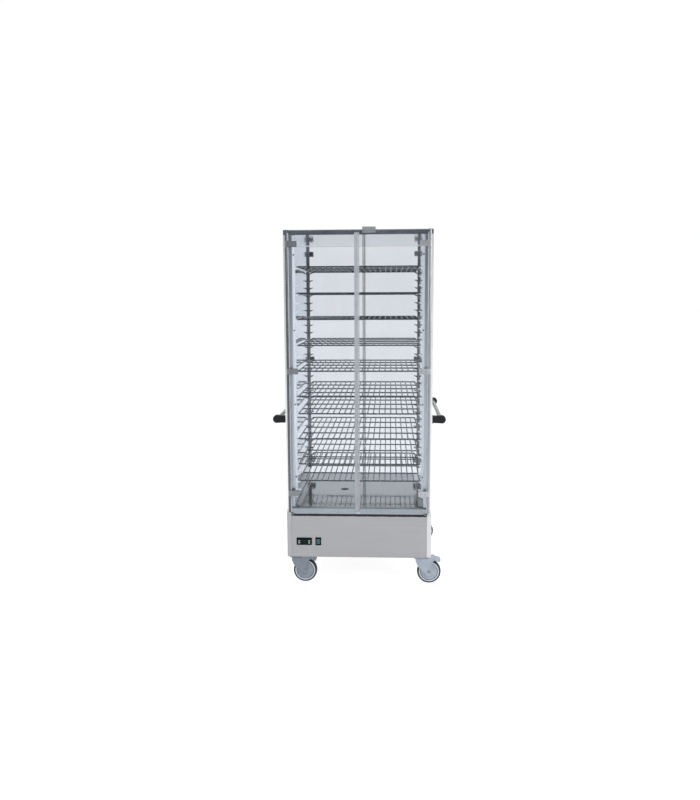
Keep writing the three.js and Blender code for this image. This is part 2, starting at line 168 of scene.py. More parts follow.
def brushed_steel(name, colour, grain, roughness=0.34, streak=0.07, anisotropy=0.5, metallic=1.0):
    """Stainless sheet with a brushed grain, long faint streaks, smudges and a few rubbed scuffs."""
    steel = Shader(name, Metallic=metallic, Anisotropic=anisotropy)
    stretch = grain_stretch(grain)
    fine = steel.noise(1600, stretch, detail=3)
    streaks = steel.noise(130, stretch, detail=4, rough=0.62)
    smudges = steel.noise(5.5, detail=3, rough=0.6, distortion=0.8)
    scuffs = steel.noise(46, (1.0, 1.0, 0.35), detail=5, rough=0.7, distortion=1.6, turn=(0.4, 0.7, 0.2))
    scuffed = steel.range(scuffs, 0.63, 0.74)
    tone = steel.math("ADD", steel.math("MULTIPLY", streaks, 0.75), steel.math("MULTIPLY", smudges, 0.25))
    base = steel.blend(steel.range(tone, 0.33, 0.67), shade(colour, 1 - streak), shade(colour, 1 + streak))
    worn = steel.blend(steel.math("MULTIPLY", scuffed, 0.35), base, shade(colour, 1.12))
    steel.to("Base Color", worn)
    rough = steel.range(smudges, 0.3, 0.7, roughness - 0.05, roughness + 0.06)
    rough = steel.math("ADD", rough, steel.math("MULTIPLY", fine, 0.07))
    steel.to("Roughness", steel.math("ADD", rough, steel.math("MULTIPLY", scuffed, 0.07)))
    steel.grain = steel.math("ADD", fine, streaks)
    steel.bump(steel.grain, 0.10, 0.0002)
    return steel


def own_finish_or_painted_highlight(steel, second, colour, roughness):
    """Gives the zone where second is 1 a bright smooth finish of its own, or a painted highlight, without the
    brushed grain.
    """
    waves = steel.noise(6, detail=2, distortion=0.4)
    cloud = steel.blend(steel.range(waves, 0.3, 0.7), (0.94, 0.94, 0.94), (1.0, 1.0, 1.0))
    bright = steel.blend(None, colour, cloud, "MULTIPLY")
    first_colour = steel.surface.inputs["Base Color"].links[0].from_socket
    first_rough = steel.surface.inputs["Roughness"].links[0].from_socket
    steel.to("Base Color", steel.blend(second, first_colour, bright))
    mix = steel.node("ShaderNodeMix", data_type="FLOAT")
    steel.link(second, mix.inputs["Factor"])
    steel.link(first_rough, mix.inputs[2])
    steel.link(steel.range(waves, 0.3, 0.7, roughness, roughness + 0.04), mix.inputs[3])
    steel.to("Roughness", mix.outputs[0])
    steel.grain = steel.math("MULTIPLY", steel.grain, steel.math("SUBTRACT", 1.0, second))
    steel.bump(steel.grain, 0.10, 0.0002)
    return steel


def wall_steel(name, colour, polished, roughness):
    """Side wall: brushed vertically outside, bright inside the chamber, on its rebates and its flanges;
    painted shade darkens the inner face towards the deck, and a painted highlight lightens the front and rear
    faces above it.
    """
    steel = brushed_steel(name, colour, "Z", roughness=0.36)
    inner_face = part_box("side_wall_right")[0].x
    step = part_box("side_wall_right")[1].y - 18 * MM
    across = steel.axis("X", absolute=True)
    inside = steel.range(across, inner_face + 0.5 * MM, inner_face + 1.5 * MM, 1.0, 0.0)
    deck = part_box("deck")[1].z
    # Painted shade: the inner polish darkens towards the deck, down to 0.36 of its colour within 60 mm of it.
    above_painted_shade = steel.range(steel.axis("Z"), deck + 60 * MM, deck + 320 * MM)
    own_finish_or_painted_highlight(steel, inside, steel.blend(above_painted_shade, shade(polished, 0.36), polished), roughness)
    in_rebate = steel.range(across, inner_face + 17.2 * MM, inner_face + 17.8 * MM, 1.0, 0.0)
    past_step = steel.range(steel.axis("Y", absolute=True), step - 0.6 * MM, step - 0.2 * MM)
    own_finish_or_painted_highlight(steel, steel.math("MULTIPLY", in_rebate, past_step), (0.70, 0.76, 0.80), 0.30)
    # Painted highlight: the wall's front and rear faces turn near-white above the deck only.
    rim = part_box("side_wall_right")[1].y - 0.6 * MM
    on_flange = steel.range(steel.axis("Y", absolute=True), rim, rim + 0.3 * MM)
    above_deck = steel.range(steel.axis("Z"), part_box("deck")[0].z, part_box("deck")[1].z)
    own_finish_or_painted_highlight(steel, steel.math("MULTIPLY", on_flange, above_deck), (0.96, 0.965, 0.98), 0.36)
    return steel


def roof_steel(name, colour, polished, roughness):
    """Roof: brushed outside, and a polished ceiling over the chamber."""
    steel = brushed_steel(name, colour, "X", roughness=0.32)
    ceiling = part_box("roof")[1].z - 24 * MM
    under = steel.range(steel.axis("Z"), ceiling + 0.4 * MM, ceiling + 1.0 * MM, 1.0, 0.0)
    return own_finish_or_painted_highlight(steel, under, polished, roughness)


def polished_steel(name, colour, roughness=0.1, ripple=0.05, cloud=0.06):
    """Bright steel with water marks, wiped hairlines and a sheet that isn't quite flat."""
    steel = Shader(name, Metallic=1.0)
    marks = steel.noise(9, detail=5, rough=0.65, distortion=1.2)
    hairlines = steel.noise(260, (1.0, 0.03, 1.0), detail=3)
    buckle = steel.noise(3.2, detail=1)
    steel.to("Base Color", steel.blend(steel.range(marks, 0.35, 0.68), shade(colour, 1 - cloud), colour))
    rough = steel.range(marks, 0.35, 0.7, roughness, roughness + 0.07)
    steel.to("Roughness", steel.math("ADD", rough, steel.math("MULTIPLY", hairlines, 0.04)))
    flat = steel.bump(buckle, ripple, 0.004)
    steel.bump(hairlines, 0.05, 0.0001, under=flat)
    return steel


def strip_with_painted_light(name, colour, glow):
    """White strip whose grain shows through its thin coat; a glow of painted light keeps it light in the
    chamber's shade.
    """
    strip = brushed_steel(name, colour, "Z", roughness=0.45, metallic=0.15)
    # Painted light: the strip glows in its own colour, though it is no lamp.
    strip.set("Emission Color", (*colour, 1.0))
    strip.set("Emission Strength", glow)
    return strip


def drawn_wire(name):
    """Electropolished wire: darker bands where it was drawn, dull spots at its welds, and a near-black colour
    that is painted shade.
    """
    wire = Shader(name, Metallic=1.0)
    bands = wire.noise(70, (1, 1, 1), detail=3, rough=0.6)
    specks = wire.noise(900, detail=2)
    drawn = wire.range(bands, 0.3, 0.7)
    # Painted shade: both wire tones are far darker than bright steel, so the wires read dark against the
    # light behind them.
    wire.to("Base Color", wire.blend(drawn, (0.07, 0.085, 0.095), (0.17, 0.195, 0.21)))
    wire.to("Roughness", wire.range(bands, 0.3, 0.75, 0.16, 0.34))
    wire.bump(specks, 0.10, 0.0001)
    return wire


def zinc(name, colour, roughness=0.42):
    """Zinc-plated pressed steel: faint spangle, dull patches and rubbed spots."""
    plate = Shader(name, Metallic=0.75)
    spangle = plate.cells(330)
    patches = plate.noise(26, detail=4, rough=0.65, distortion=0.6)
    rubs = plate.range(plate.noise(60, detail=5, rough=0.7), 0.60, 0.72)
    tone = plate.blend(plate.range(patches, 0.3, 0.7), shade(colour, 0.86), shade(colour, 1.08))
    plate.to("Base Color", plate.blend(plate.math("MULTIPLY", rubs, 0.4), tone, shade(colour, 1.3)))
    rough = plate.range(patches, 0.3, 0.7, roughness - 0.08, roughness + 0.08)
    plate.to("Roughness", plate.math("ADD", rough, plate.math("MULTIPLY", spangle, 0.08)))
    plate.bump(plate.math("ADD", spangle, patches), 0.12, 0.0002)
    return plate


def moulded_plastic(name, colour, roughness=0.45, grain=900, strength=0.18, spread=0.12, shine=0.5):
    """Moulded plastic with a spark-eroded grain, handling shine and dust in its hollows."""
    plastic = Shader(name)
    plastic.set("Specular IOR Level", shine)
    texture = plastic.noise(grain, detail=3, rough=0.6)
    handling = plastic.noise(24, detail=3, rough=0.55, distortion=0.5)
    tint = plastic.range(handling, 0.3, 0.7)
    plastic.to("Base Color", plastic.blend(tint, shade(colour, 1 - spread), shade(colour, 1 + spread)))
    plastic.to("Roughness", plastic.range(handling, 0.28, 0.72, roughness - 0.1, roughness + 0.1))
    plastic.bump(texture, strength, 0.0002)
    return plastic


def rubber(name, colour, dust):
    """Rubber that has picked up floor dust on its worn bands."""
    tyre = Shader(name, Roughness=0.7)
    scuffs = tyre.noise(55, detail=5, rough=0.7, distortion=0.9)
    pores = tyre.noise(1300, detail=2)
    tyre.to("Base Color", tyre.blend(tyre.range(scuffs, 0.45, 0.72), colour, dust))
    tyre.to("Roughness", tyre.range(scuffs, 0.3, 0.7, 0.55, 0.85))
    tyre.bump(tyre.math("ADD", pores, scuffs), 0.25, 0.0003)
    return tyre


def clear_sheet(name, tint, mirror, smear):
    """Clear acrylic that lets light straight through, with faint wiping smears and a gloss.

    The gloss grows from mirror, head on, to a full reflection at a grazing angle, the same on both faces.
    """
    sheet = Shader(name)
    tree = sheet.tree
    through = sheet.node("ShaderNodeBsdfTransparent")
    gloss = sheet.node("ShaderNodeBsdfAnisotropic")
    weight = sheet.node("ShaderNodeLayerWeight")
    weight.inputs["Blend"].default_value = 0.5
    grazing = sheet.range(sheet.math("POWER", weight.outputs["Facing"], 5.0), 0.0, 1.0, mirror, 1.0)
    mix = sheet.node("ShaderNodeMixShader")
    wipes = sheet.noise(5, (1.0, 1.0, 0.35), detail=5, rough=0.6, distortion=1.4)
    wiped = sheet.range(wipes, 0.35, 0.75)
    sheet.link(sheet.blend(wiped, tint, shade(tint, smear)), through.inputs["Color"])
    sheet.link(sheet.range(wipes, 0.3, 0.75, 0.02, 0.09), gloss.inputs["Roughness"])
    sheet.link(grazing, mix.inputs["Fac"])
    sheet.link(through.outputs["BSDF"], mix.inputs[1])
    sheet.link(gloss.outputs["BSDF"], mix.inputs[2])
    sheet.link(mix.outputs["Shader"], tree.nodes["Material Output"].inputs["Surface"])
    tree.nodes.remove(sheet.surface)
    return sheet


def cloudy_profile(name, colour, alpha, roughness=0.28):
    """Translucent extruded edge strip: drawing lines along it and slight clouding."""
    strip = Shader(name, Alpha=alpha, Roughness=roughness)
    lines = strip.noise(300, grain_stretch("Z"), detail=3)
    cloud = strip.noise(14, detail=3)
    tone = strip.math("ADD", strip.math("MULTIPLY", lines, 0.6), strip.math("MULTIPLY", cloud, 0.4))
    tone = strip.range(tone, 0.35, 0.65)
    strip.to("Base Color", strip.blend(tone, shade(colour, 0.88), shade(colour, 1.06)))
    strip.to("Roughness", strip.range(cloud, 0.3, 0.7, roughness - 0.06, roughness + 0.08))
    strip.bump(lines, 0.15, 0.0002)
    return strip


def lens(name, colour, glow):
    """Tinted rocker lens over a lamp, with a moulded prism pattern."""
    tinted = Shader(name, Roughness=0.16)
    tinted.set("Coat Weight", 0.15)
    prism = tinted.cells(520, stretch=(1, 1, 1))
    shine = tinted.noise(120, detail=2)
    tinted.to("Base Color", tinted.blend(tinted.range(shine, 0.3, 0.7), shade(colour, 0.8), colour))
    tinted.set("Emission Color", (*colour, 1.0))
    tinted.set("Emission Strength", glow)
    tinted.bump(prism, 0.2, 0.0003)
    return tinted


def finish(maker, *values, **settings):
    """A row of the table below: which maker a material comes from, and what it is given after the name."""
    return maker, values, settings


STEEL = (0.60, 0.60, 0.62)
FINISHES = {
    # wall_left and wall_right are one steel in two tones: painted shade darkens the left wall, outside and on
    # its inner polish, and painted light lightens the right one.
    "wall_left": finish(wall_steel, shade(STEEL, 0.72), (0.84, 0.89, 0.96), 0.07),
    "wall_right": finish(wall_steel, shade(STEEL, 1.15), (0.93, 0.98, 1.0), 0.07),
    "roof": finish(roof_steel, STEEL, (0.50, 0.53, 0.55), 0.06),
    "panel": finish(brushed_steel, shade(STEEL, 0.68), "X", roughness=0.38, streak=0.035),
    "sill": finish(brushed_steel, (0.42, 0.455, 0.47), "X", roughness=0.28, streak=0.04),
    "deck": finish(polished_steel, (0.385, 0.41, 0.41), roughness=0.03, ripple=0.02),
    "rail": finish(polished_steel, (0.66, 0.70, 0.71), roughness=0.14),
    # Front combs: light strips lifted by a glow of painted light.
    "bright_comb": finish(strip_with_painted_light, (0.84, 0.87, 0.91), 0.24),
    # Rear combs: the same kind of part as the front ones, darkened with painted shade.
    "dark_comb": finish(polished_steel, (0.30, 0.33, 0.35), roughness=0.2),
    # rod_left and rod_right are one rod steel in two tones: painted shade darkens the left rod, painted light
    # lightens the right one.
    "rod_left": finish(polished_steel, (0.12, 0.135, 0.15), roughness=0.16),
    "rod_right": finish(polished_steel, (0.38, 0.40, 0.42), roughness=0.16),
    # clamp_left and clamp_right are one brushed steel in two tones: painted shade on the left clamps, painted
    # light on the right ones.
    "clamp_left": finish(brushed_steel, (0.25, 0.26, 0.275), "X", roughness=0.36),
    "clamp_right": finish(brushed_steel, (0.48, 0.49, 0.51), "X", roughness=0.36),
    "tab": finish(brushed_steel, (0.27, 0.285, 0.29), "X", roughness=0.4),
    "tube": finish(polished_steel, (0.29, 0.29, 0.285), roughness=0.22),
    "wire": finish(drawn_wire),
    # zinc_left and zinc_right are one zinc plating in two tones: painted shade on the left casters and pedal,
    # painted light on the right ones.
    "zinc_left": finish(zinc, (0.25, 0.29, 0.335)),
    "zinc_right": finish(zinc, (0.42, 0.48, 0.55)),
    "hole": finish(moulded_plastic, (0.01, 0.011, 0.014), roughness=0.55),
    "bolt": finish(zinc, (0.30, 0.32, 0.34), roughness=0.34),
    # hub_left and hub_right are one moulded disc in two tones: painted shade on the left wheels, painted
    # light on the right ones.
    "hub_left": finish(moulded_plastic, (0.265, 0.31, 0.37), roughness=0.42, grain=700),
    "hub_right": finish(moulded_plastic, (0.36, 0.42, 0.49), roughness=0.42, grain=700),
    "groove": finish(moulded_plastic, (0.12, 0.15, 0.18), roughness=0.5, grain=700),
    "rim": finish(moulded_plastic, (0.62, 0.68, 0.74), roughness=0.38, grain=700, spread=0.06),
    "tyre": finish(rubber, (0.018, 0.022, 0.028), (0.06, 0.064, 0.07)),
    "gasket": finish(rubber, (0.008, 0.009, 0.012), (0.022, 0.023, 0.026)),
    "black": finish(moulded_plastic, (0.009, 0.0105, 0.013), roughness=0.46, shine=0.28),
    "bezel": finish(moulded_plastic, (0.006, 0.009, 0.010), roughness=0.55, shine=0.04),
    "key": finish(moulded_plastic, (0.42, 0.45, 0.46), roughness=0.5, grain=1500, spread=0.03, shine=0.2),
    "white": finish(moulded_plastic, (0.60, 0.62, 0.63), roughness=0.42, grain=1500, spread=0.03),
    "display": finish(moulded_plastic, (0.008, 0.015, 0.017), 0.22, grain=300, strength=0.02, shine=0.08),
    "lens": finish(lens, (0.02, 0.105, 0.105), 0.04),
    "header": finish(brushed_steel, (0.22, 0.245, 0.275), "X", roughness=0.34, streak=0.08),
    "clear": finish(clear_sheet, (0.925, 0.935, 0.948), 0.022, 0.985),
    "seam": finish(cloudy_profile, (0.50, 0.525, 0.555), 0.62),
    "rear_seam": finish(cloudy_profile, (0.62, 0.62, 0.64), 0.28),
    "edge": finish(cloudy_profile, (0.66, 0.70, 0.74), 0.62),
    "element": finish(zinc, (0.10, 0.10, 0.105), roughness=0.5),
}
MATERIALS = {}
for material_name, (maker, values, settings) in FINISHES.items():
    made = maker(material_name, *values, **settings)
    MATERIALS[material_name] = made.material


# ---- shape tools ----


def new_piece(name, mesh_work, material, body, crease=32, bevel=0.0, segments=2):
    """Turns a bmesh into a piece that rides on a body, with soft edges where a bevel is given."""
    bmesh.ops.remove_doubles(mesh_work, verts=mesh_work.verts, dist=1e-7)
    bmesh.ops.recalc_face_normals(mesh_work, faces=mesh_work.faces)
    mesh = bpy.data.meshes.new(name)
    mesh_work.to_mesh(mesh)
    mesh_work.free()
    mesh.materials.append(MATERIALS[material])
    for polygon in mesh.polygons:
        polygon.use_smooth = True
    mesh.set_sharp_from_angle(angle=math.radians(crease))
    piece = bpy.data.objects.new(name, mesh)
    bpy.context.collection.objects.link(piece)
    if bevel:
        soften(piece, bevel, segments)
    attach(piece, body)
    return piece


def soften(piece, width, segments=2):
    bevel = piece.modifiers.new("soft_edges", "BEVEL")
    bevel.width = width
    bevel.segments = segments
    bevel.limit_method = "ANGLE"
    bevel.angle_limit = math.radians(35)
    bevel.harden_normals = True


def ring_round(work, centre, side, other, radius, sides, phase=0.0):
    """A circle of vertices in the plane of side and other."""
    ring = []
    for i in range(sides):
        angle = 2 * math.pi * (i + phase) / sides
        ring.append(work.verts.new(centre + radius * (side * math.cos(angle) + other * math.sin(angle))))
    return ring


def join_rings(work, rings):
    """Skin between each ring of vertices and the next; all rings have the same number."""
    count = len(rings[0])
    for first, second in zip(rings, rings[1:]):
        for k in range(count):
            n = (k + 1) % count
            work.faces.new((first[k], first[n], second[n], second[k]))


def mm(points):
    return [(a * MM, b * MM) for a, b in points]


def add_prism(work, outline, low, high, axis):
    """Closed prism: outline points in the two other axes, taken in cyclic order, from low to high."""
    def corner(point, along):
        a, b = point
        return {"X": (along, a, b), "Y": (a, along, b), "Z": (a, b, along)}[axis]

    rings = [[work.verts.new(corner(point, along)) for point in outline] for along in (low, high)]
    join_rings(work, rings)
    work.faces.new(rings[0])
    work.faces.new(rings[1])


def add_box(work, low, high):
    add_prism(work, [(low[0], low[1]), (high[0], low[1]), (high[0], high[1]), (low[0], high[1])],
              low[2], high[2], "Z")


def add_lathe(work, profile, centre, axis, sides=32):
    """Turned body: profile points are (distance along the axis, radius), from end to end."""
    along = axis.normalized()
    side = along.orthogonal().normalized()
    other = along.cross(side)
    rings = []
    for step, radius in profile:
        middle = centre + along * step
        if radius < 1e-7:
            rings.append([work.verts.new(middle)])
            continue
        rings.append(ring_round(work, middle, side, other, radius, sides))
    for first, second in zip(rings, rings[1:]):
        for i in range(sides):
            j = (i + 1) % sides
            near = [first[i % len(first)], first[j % len(first)]]
            far = [second[j % len(second)], second[i % len(second)]]
            work.faces.new(list(dict.fromkeys(near + far)))
    for ring in (rings[0], rings[-1]):
        if len(ring) > 1:
            work.faces.new(ring)


def add_tube(work, points, radius, sides=10, closed=False):
    """Round tube along a flat path; a closed path makes a loop."""
    points = [Vector(point) for point in points]
    count = len(points)
    rings = []
    for i, point in enumerate(points):
        before = points[i - 1] if closed or i else point
        after = points[(i + 1) % count] if closed or i < count - 1 else point
        along = (after - before).normalized()
        side = along.cross(Z)
        side = side.normalized() if side.length > 1e-6 else X.copy()
        other = along.cross(side)
        rings.append(ring_round(work, point, side, other, radius, sides, 0.5))
    join_rings(work, rings + rings[:1] if closed else rings)
    if not closed:
        work.faces.new(rings[0])
        work.faces.new(rings[-1])


def add_rod(work, length, radius, chamfer, foot, axis, sides):
    profile = [(0, 0), (0, radius - chamfer), (chamfer, radius), (length - chamfer, radius),
               (length, radius - chamfer), (length, 0)]
    add_lathe(work, profile, foot, axis, sides)


def arc(cx, cy, radius, start, stop, steps):
    points = []
    for i in range(steps + 1):
        angle = math.radians(start + (stop - start) * i / steps)
        points.append((cx + radius * math.cos(angle), cy + radius * math.sin(angle)))
    return points


def rounded(x0, x1, y0, y1, radius, steps=6):
    (x0, x1), (y0, y1) = sorted((x0, x1)), sorted((y0, y1))
    return [
        *arc(x1 - radius, y1 - radius, radius, 0, 90, steps),
        *arc(x0 + radius, y1 - radius, radius, 90, 180, steps),
        *arc(x0 + radius, y0 + radius, radius, 180, 270, steps),
        *arc(x1 - radius, y0 + radius, radius, 270, 360, steps),
    ]


def add_screw(work, seat, out, radius, height, drive=6):
    """Pan head with a socket: seat is the middle of its foot, out points away from the sheet."""
    socket = radius * 0.48
    deep = height * 0.45
    add_lathe(work, [(0, 0), (0, radius), (height * 0.45, radius), (height * 0.8, radius * 0.86),
                     (height, radius * 0.62), (height, socket)], seat, out, 20)
    add_lathe(work, [(height, socket), (height - deep, socket * 0.96), (height - deep, 0)], seat, out, drive)


def add_hexagon(work, seat, out, across, height):
    radius = across / math.sqrt(3)
    add_lathe(work, [(0, 0), (0, radius), (height * 0.85, radius), (height, radius * 0.88), (height, 0)],
              seat, out, 6)


def dress(node, material, bevel=0.0, segments=2):
    """Gives a CAD node that stays its finish, and soft edges."""
    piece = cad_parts[node]
    piece.data.materials.clear()
    piece.data.materials.append(MATERIALS[material])
    if bevel:
        soften(piece, bevel, segments)


def middle(node):
    low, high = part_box(node)
    return (low + high) / 2


# ---- casing ----


def make_casing():
    for hand in HANDS:
        dress(f"side_wall_{hand}", f"wall_{hand}", 0.4 * MM)
    dress("roof", "roof", 0.5 * MM)
    dress("front_sill", "sill", 0.6 * MM)
    dress("rear_sill", "sill", 0.6 * MM)
    dress("deck", "deck", 0.3 * MM)
    dress("base_front_panel", "panel", 0.5 * MM)
    dress("chassis_tray", "panel", 0.5 * MM)
    dress("heating_element", "element")
    for hand in HANDS:
        dress(f"upright_front_{hand}", "bright_comb", 0.4 * MM)
        dress(f"upright_rear_{hand}", "dark_comb", 0.4 * MM)
    make_headers()
    make_gap_strips()
    make_upright_screws()
    make_panel_screws()
    make_deck_rails()
    make_deck_fitting()
    make_seam_catch()


def make_headers():
    """Dark facing strip on the roof's front and rear fascia, rounded along its lower edge."""
    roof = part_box("roof")[1].z
    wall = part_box("side_wall_right")[1]
    reach = wall.x - 1.5 * MM
    for end in ENDS:
        side = OUTWARD[end]
        inner, outer = side * (wall.y + 0.2 * MM), side * (wall.y + 1.6 * MM)
        low, high = roof - 24.5 * MM, roof - 1.6 * MM
        outline = [(inner, low), (outer, low + 1.4 * MM), (outer, high - 0.8 * MM),
                   (outer - side * 0.8 * MM, high), (inner, high)]
        work = bmesh.new()
        add_prism(work, outline, -reach, reach, "X")
        new_piece(f"header_strip_{end}", work, "header", "cabinet", bevel=0.3 * MM)


def make_gap_strips():
    """Near-black strip with a rubber surface in the gap under each sill; its lip hangs unevenly over the
    base's top edge.
    """
    steps = 90
    for end in ENDS:
        side = OUTWARD[end]
        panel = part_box("base_front_panel")
        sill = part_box("front_sill")
        reach = panel[1].x - 0.5 * MM
        face = side * (abs(panel[0].y) + 0.8 * MM)
        back = face - side * 15 * MM
        top, bottom = sill[0].z - 0.2 * MM, panel[1].z + 0.2 * MM
        work = bmesh.new()
        rings = []
        for i in range(steps + 1):
            x = -reach + 2 * reach * i / steps
            wave = 0.45 * math.sin(i * 1.9) + 0.35 * math.sin(i * 0.63 + 1.2) + 0.2 * math.sin(i * 3.1)
            lip = bottom + (1.1 * wave - 2.2) * MM
            bulge = face + side * (0.9 + 0.4 * wave) * MM
            inner = face - side * 0.6 * MM
            section = [(back, top), (face, top), (bulge, (top + lip) / 2), (face, lip), (inner, lip),
                       (inner, bottom), (back, bottom)]
            rings.append([work.verts.new((x, y, z)) for y, z in section])
        join_rings(work, rings)
        work.faces.new(rings[0])
        work.faces.new(rings[-1])
        new_piece(f"gasket_{end}", work, "gasket", "cabinet", crease=60)


def make_upright_screws():
    """Four countersunk screws down the end face of each upright."""
    for end in ENDS:
        for hand in HANDS:
            low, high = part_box(f"upright_{end}_{hand}")
            face = low.y if end == "front" else high.y
            wall = max(abs(low.x), abs(high.x))
            work = bmesh.new()
            for i in range(4):
                seat = Vector((OUTWARD[hand] * (wall - 4.6 * MM), face, high.z - (88 + 366 * i) * MM))
                add_screw(work, seat, OUTWARD[end] * Y, 3.6 * MM, 1.6 * MM)
            new_piece(f"upright_screws_{end}_{hand}", work, "hole", "cabinet")


def make_panel_screws():
    """Button screws on the base's rear cover, one row near its foot and one near its top."""
    panel_low, panel_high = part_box("base_front_panel")
    work = bmesh.new()
    for share in (-0.94, -0.35, 0.35, 0.94):
        for height in (panel_low.z + 22 * MM, panel_high.z - 22 * MM):
            add_screw(work, Vector((share * panel_high.x, -panel_low.y, height)), Y, 4.0 * MM, 2.2 * MM)
    new_piece("rear_cover_screws", work, "bolt", "cabinet")


def make_deck_rails():
    """Satin strip on each side of the deck, folded down over the rail that it lies on."""
    low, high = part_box("deck")
    for hand in HANDS:
        side = OUTWARD[hand]
        outer, inner = side * (high.x - 3 * MM), side * (high.x - 23 * MM)
        outer_skin, inner_skin = outer + side * 0.6 * MM, inner - side * 0.6 * MM
        work = bmesh.new()
        outline = [(outer, high.z - 2.6 * MM), (outer, high.z + 0.6 * MM), (inner, high.z + 0.6 * MM),
                   (inner, high.z - 2.6 * MM), (inner_skin, high.z - 2.6 * MM),
                   (inner_skin, high.z + 1.2 * MM), (outer_skin, high.z + 1.2 * MM),
                   (outer_skin, high.z - 2.6 * MM)]
        add_prism(work, outline, low.y + 1 * MM, high.y - 1 * MM, "Y")
        new_piece(f"deck_rail_{hand}", work, "rail", "cabinet", bevel=0.3 * MM)


def make_deck_fitting():
    """Low oval fitting in the deck with two fixing screws."""
    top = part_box("deck")[1].z - 3 * MM
    centre = Vector((-93 * MM, 0, top))
    work = bmesh.new()
    steps = 36
    profile = [(1.0, 0.1), (1.0, 1.4), (0.95, 2.2), (0.80, 2.2), (0.76, 1.4), (0.76, 0.1)]
    rings = []
    for scale, height in profile:
        ring = []
        for i in range(steps):
            angle = 2 * math.pi * i / steps
            ring.append(work.verts.new(centre + Vector((
                scale * 21 * MM * math.cos(angle), scale * 15 * MM * math.sin(angle), height * MM))))
        rings.append(ring)
    join_rings(work, rings + rings[:1])
    add_box(work, centre + Vector((-1.6, -11, 0.1)) * MM, centre + Vector((1.6, 11, 1.4)) * MM)
    new_piece("deck_fitting", work, "black", "cabinet", bevel=0.2 * MM)
    work = bmesh.new()
    for side in (-1, 1):
        add_screw(work, centre + X * side * 8 * MM, Z, 3.4 * MM, 1.6 * MM)
    new_piece("deck_fitting_screws", work, "bolt", "cabinet")


def make_seam_catch():
    """Small light catch on the front sill, where the two leaves meet."""
    sill_low, sill_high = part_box("front_sill")
    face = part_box("base_front_panel")[0].y
    work = bmesh.new()
    low, high = sill_low.z + 3 * MM, sill_high.z - 8 * MM
    add_prism(work, rounded(-14 * MM, 6 * MM, low, high, 2.5 * MM), face - 3.6 * MM, face - 0.1 * MM, "Y")
    add_screw(work, Vector((-4 * MM, face - 3.6 * MM, (low + high) / 2)), -Y, 2.4 * MM, 0.9 * MM)
    new_piece("seam_catch", work, "white", "cabinet", bevel=0.5 * MM)


# ---- shelves ----


def shelf_mesh(low, high):
    """Wire grid: a rounded rim, three cross wires and a row of thinner depth wires on them."""
    rim, thin = 3.6 * MM, 3.1 * MM
    cross_wires, depth_wires = 3, 20
    z = (low.z + high.z) / 2
    work = bmesh.new()
    outline = rounded(low.x + rim, high.x - rim, low.y + rim, high.y - rim, 9 * MM, 4)
    add_tube(work, [(x, y, z) for x, y in outline], rim, 10, closed=True)
    for i in range(1, cross_wires + 1):
        y = low.y + rim + (high.y - low.y - 2 * rim) * i / (cross_wires + 1)
        add_tube(work, [(low.x + rim, y, z), (high.x - rim, y, z)], rim * 0.92, 10)
    for i in range(1, depth_wires + 1):
        x = low.x + rim + (high.x - low.x - 2 * rim) * i / (depth_wires + 1)
        add_tube(work, [(x, low.y + rim, z + 0.8 * MM), (x, high.y - rim, z + 0.8 * MM)], thin, 8)
    return work


def make_shelves():
    for index in range(1, 11):
        node = f"shelf_{index:02d}"
        grid = shelf_mesh(*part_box(node))
        piece = new_piece(f"wire_{node}", grid, "wire", "cabinet", crease=50)
        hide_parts(node)


# ---- doors ----


def make_doors():
    for end in ENDS:
        for hand in HANDS:
            make_leaf(end, hand)
            make_hinge(end, hand)
    make_latch_tab()


SEAM_WIDTHS = {"front_left_door": 17, "front_right_door": 4, "rear_left_door": 6, "rear_right_door": 8}


def make_leaf(end, hand):
    """Clear leaf with round corners, a strip where it meets its twin and one beside its hinge."""
    body = f"{end}_{hand}_door"
    node = f"door_{end}_{hand}"
    low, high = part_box(node)
    side = OUTWARD[hand]
    near, far = sorted((low.x, high.x), key=abs)
    work = bmesh.new()
    add_prism(work, rounded(low.x, high.x, low.z, high.z, 12 * MM, 10), low.y, high.y, "Y")
    leaf = new_piece(f"leaf_{end}_{hand}", work, "clear", body, bevel=0.5 * MM)
    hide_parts(node)
    wide = SEAM_WIDTHS[body] * MM
    bottom, top = low.z + 9 * MM, high.z - 9 * MM
    work = bmesh.new()
    for y, out in ((low.y, -1), (high.y, 1)):
        lip = sorted((y, y + out * 1.0 * MM))
        outline = rounded(near, near + side * wide, bottom, top, 1.2 * MM, 3)
        add_prism(work, outline, lip[0], lip[1], "Y")
    bridge = sorted((near - side * 0.9 * MM, near - side * 0.1 * MM))
    add_box(work, (bridge[0], low.y - 1.0 * MM, bottom), (bridge[1], high.y + 1.0 * MM, top))
    strip = "seam" if end == "front" else "rear_seam"
    new_piece(f"seam_strip_{end}_{hand}", work, strip, body, bevel=0.25 * MM)
    work = bmesh.new()
    for y, out in ((low.y, -1), (high.y, 1)):
        lip = sorted((y, y + out * 0.25 * MM))
        outline = rounded(far - side * 0.4 * MM, far - side * 4.6 * MM, bottom, top, 2 * MM, 5)
        add_prism(work, outline, lip[0], lip[1], "Y")
    new_piece(f"hinge_strip_{end}_{hand}", work, "edge", body)


